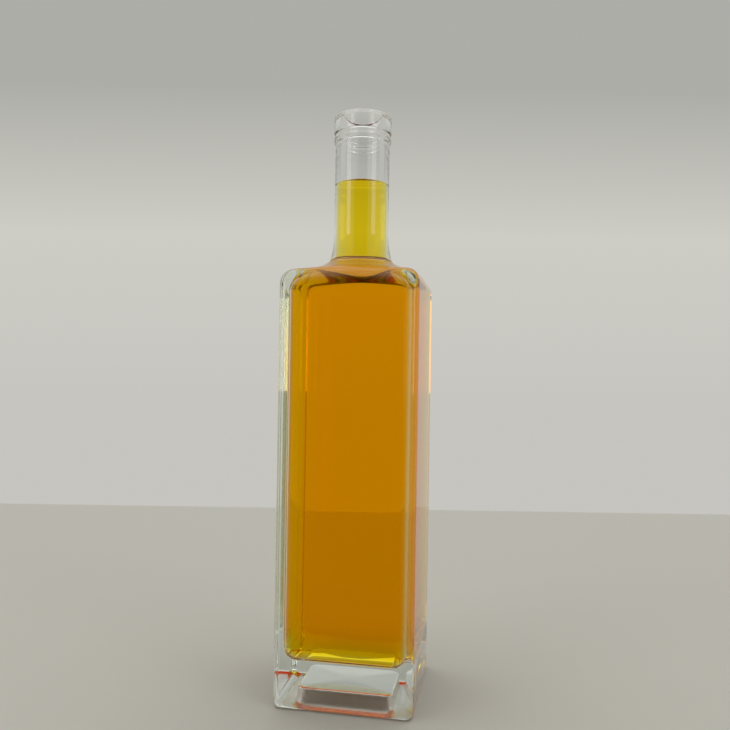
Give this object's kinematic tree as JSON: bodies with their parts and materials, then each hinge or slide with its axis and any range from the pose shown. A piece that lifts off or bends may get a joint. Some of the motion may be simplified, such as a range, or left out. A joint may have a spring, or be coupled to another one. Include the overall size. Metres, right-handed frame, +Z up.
{
  "type": "square spirit bottle",
  "caption": "Tall square clear glass spirit bottle with a thick base and a round neck with a ringed finish, open at the mouth and filled with amber spirit to mid-neck.",
  "frame": {"origin": "middle of the underside, on the table it stands on", "axes": "+Z up the neck; the four flat sides face +X, -X, +Y and -Y"},
  "size_m": [0.0694, 0.0694, 0.3],
  "materials": {
    "clear_glass": "clear colourless flint glass, fire polished, slightly uneven inside",
    "amber_spirit": "clear golden amber liquid"
  },
  "bodies": {
    "root": {"bottle": "clear_glass", "spirit": "amber_spirit"}
  },
  "joints": []
}
